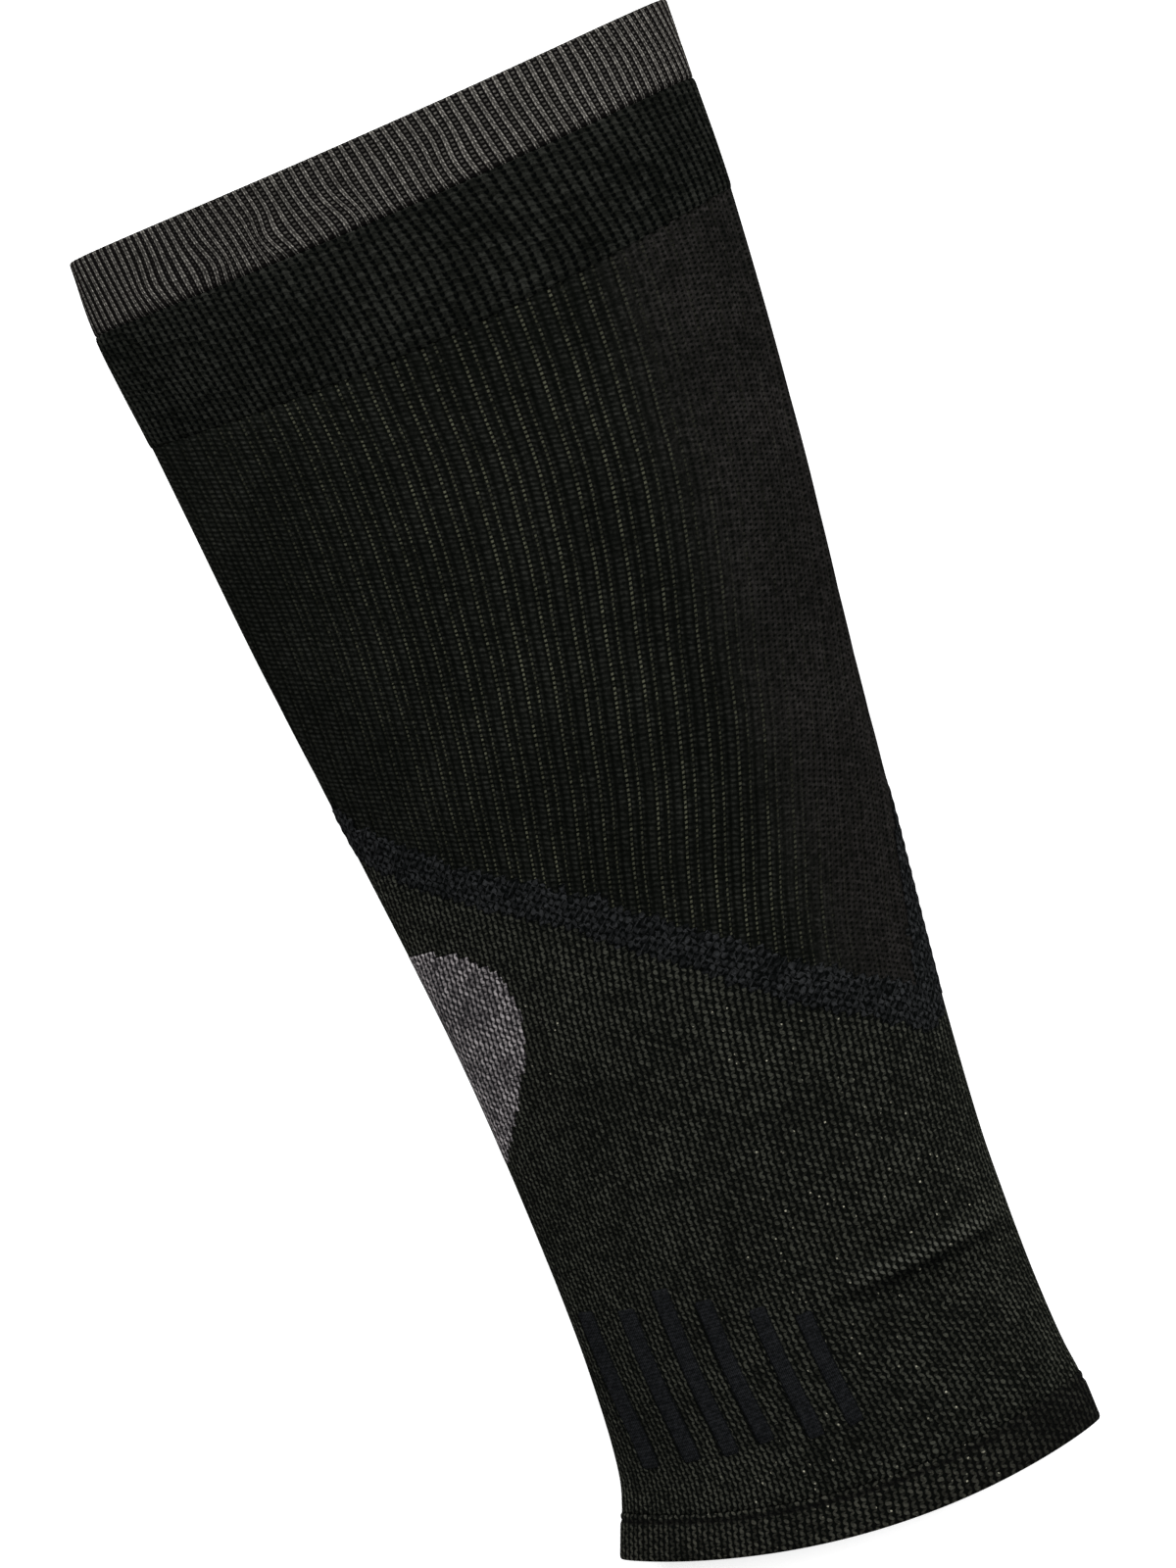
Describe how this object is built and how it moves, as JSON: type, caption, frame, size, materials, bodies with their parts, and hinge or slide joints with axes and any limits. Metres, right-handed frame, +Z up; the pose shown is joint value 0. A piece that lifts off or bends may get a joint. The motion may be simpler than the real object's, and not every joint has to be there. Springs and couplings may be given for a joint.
{
  "type": "calf compression sleeve",
  "caption": "Knitted calf compression sleeve lying flat: a tapered tube with a ribbed cuff, a diagonal support band, a side patch and ankle flex ribs.",
  "frame": {"origin": "under the middle of the sleeve's bounding box, on the surface that it lies on", "axes": "+Y along the sleeve from the ankle hem to the calf cuff, +X to the right seen from above, +Z up"},
  "size_m": [0.1412, 0.3244, 0.0266],
  "materials": {
    "grey_rib_knit": "matte knit, warm grey rib",
    "black_rib_knit": "matte knit, black rib",
    "black_ladder_knit": "matte knit, black with faint olive ladder stitches",
    "navy_tuck_knit": "matte tuck knit, near-black navy",
    "black_birdseye_knit": "matte birdseye knit, black with faint sparkle",
    "grey_birdseye_knit": "matte birdseye knit, mid grey",
    "black_hem_knit": "matte knit, black turned hem",
    "navy_plain_knit": "matte plain knit, near-black navy"
  },
  "bodies": {
    "root": {"cuff_band": "grey_rib_knit", "elastic_welt": "black_rib_knit", "calf_panel": "black_ladder_knit", "support_band": "navy_tuck_knit", "ankle_panel": "black_birdseye_knit", "side_patch": "grey_birdseye_knit", "ankle_hem": "black_hem_knit", "flex_rib_01": "navy_plain_knit", "flex_rib_02": "navy_plain_knit", "flex_rib_03": "navy_plain_knit", "flex_rib_04": "navy_plain_knit", "flex_rib_05": "navy_plain_knit", "flex_rib_06": "navy_plain_knit", "flex_rib_07": "navy_plain_knit", "flex_rib_08": "navy_plain_knit", "flex_rib_09": "navy_plain_knit", "flex_rib_10": "navy_plain_knit", "flex_rib_11": "navy_plain_knit", "flex_rib_12": "navy_plain_knit"}
  },
  "joints": []
}
